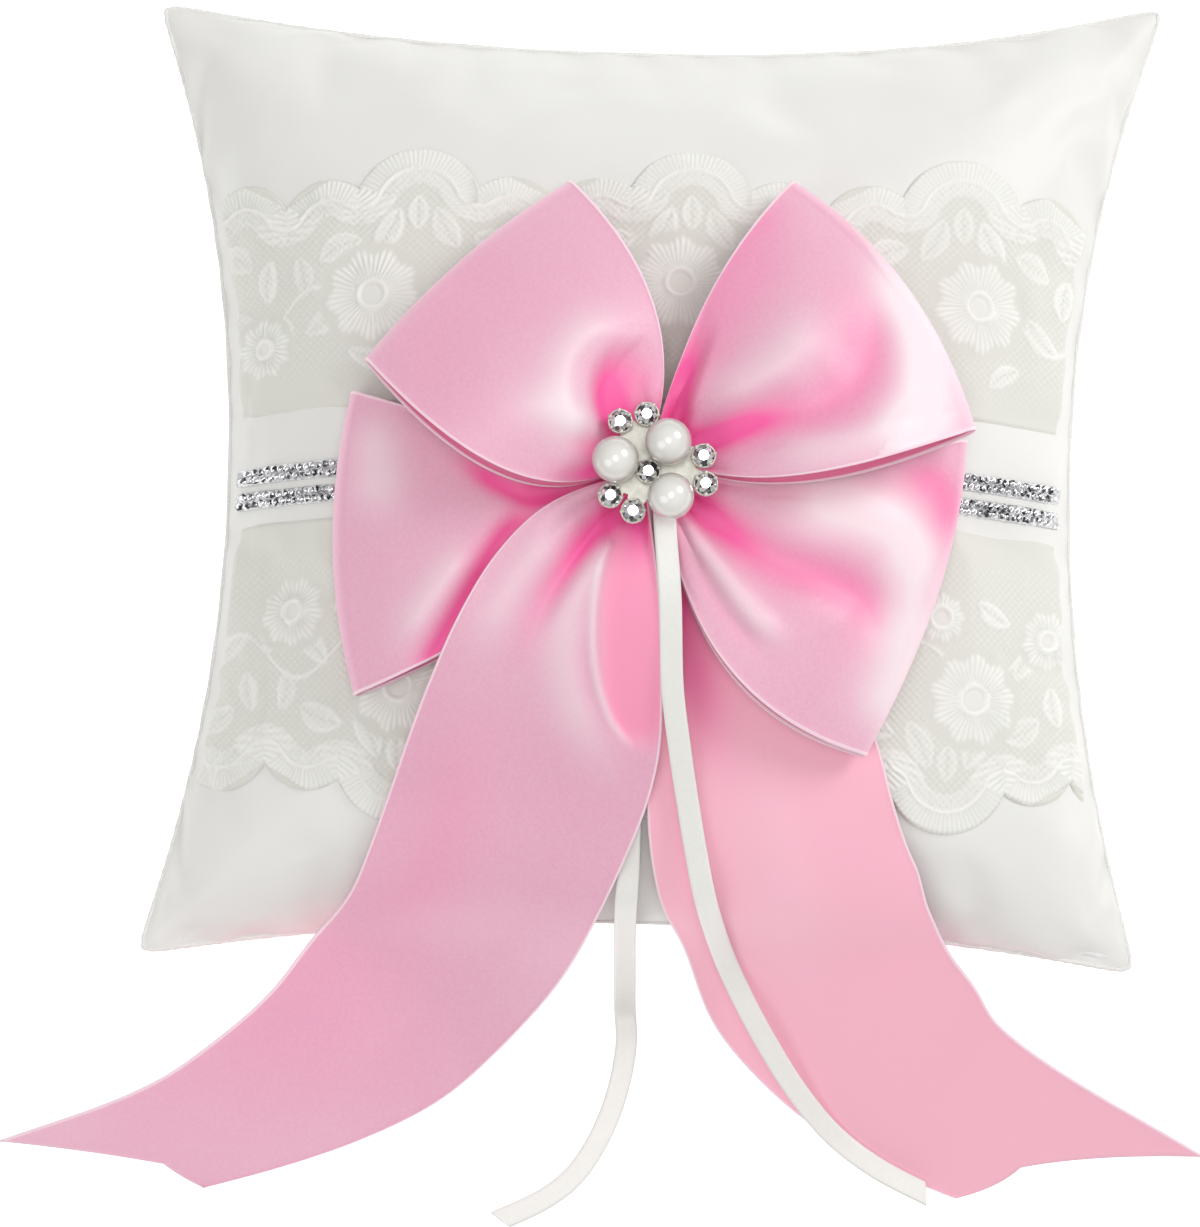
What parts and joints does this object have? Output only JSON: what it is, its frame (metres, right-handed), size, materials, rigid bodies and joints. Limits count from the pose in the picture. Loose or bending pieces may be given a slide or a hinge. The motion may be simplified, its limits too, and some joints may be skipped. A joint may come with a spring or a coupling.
{
  "type": "ring bearer pillow",
  "caption": "Small stuffed satin cushion with lace bands, rhinestone trim, a ribbon bow with long tails, a pearl brooch and narrow ribbons that tie the wedding rings.",
  "frame": {"origin": "centre of the flat patch on the cushion's back, on the surface that it lies on", "axes": "+Z out of the cushion's face, +X to its right side, +Y to its top edge, with the bow's tails towards -Y"},
  "size_m": [0.241, 0.2458, 0.0844],
  "materials": {
    "white_satin": "soft satin, off-white",
    "fibre": "loose polyester fibre",
    "thread": "spun sewing thread",
    "lace": "matte ivory embroidery on mesh",
    "rhinestone_trim": "cast faceted trim",
    "pink_satin": "double-face satin ribbon",
    "ivory_satin": "narrow satin ribbon",
    "brooch_metal": "silver plated",
    "pearl": "pearl lustre",
    "crystal": "faceted clear stone"
  },
  "bodies": {
    "root": {"front_cover": "white_satin", "back_cover": "white_satin", "fibre_filling": "fibre", "seam_thread": "thread", "upper_lace": "lace", "lower_lace": "lace", "upper_rhinestone_trim": "rhinestone_trim", "lower_rhinestone_trim": "rhinestone_trim", "bow_loop_upper_left": "pink_satin", "bow_loop_upper_right": "pink_satin", "bow_loop_lower_left": "pink_satin", "bow_loop_lower_right": "pink_satin", "bow_tail_left": "pink_satin", "bow_tail_right": "pink_satin", "bow_binding": "pink_satin", "ring_ribbon_left": "ivory_satin", "ring_ribbon_right": "ivory_satin", "brooch_base": "brooch_metal", "pearl_1": "pearl", "pearl_2": "pearl", "pearl_3": "pearl", "crystal_cup_1": "brooch_metal", "crystal_cup_2": "brooch_metal", "crystal_cup_3": "brooch_metal", "crystal_cup_4": "brooch_metal", "crystal_cup_5": "brooch_metal", "crystal_cup_6": "brooch_metal", "crystal_cup_7": "brooch_metal", "crystal_1": "crystal", "crystal_2": "crystal", "crystal_3": "crystal", "crystal_4": "crystal", "crystal_5": "crystal", "crystal_6": "crystal", "crystal_7": "crystal"}
  },
  "joints": []
}
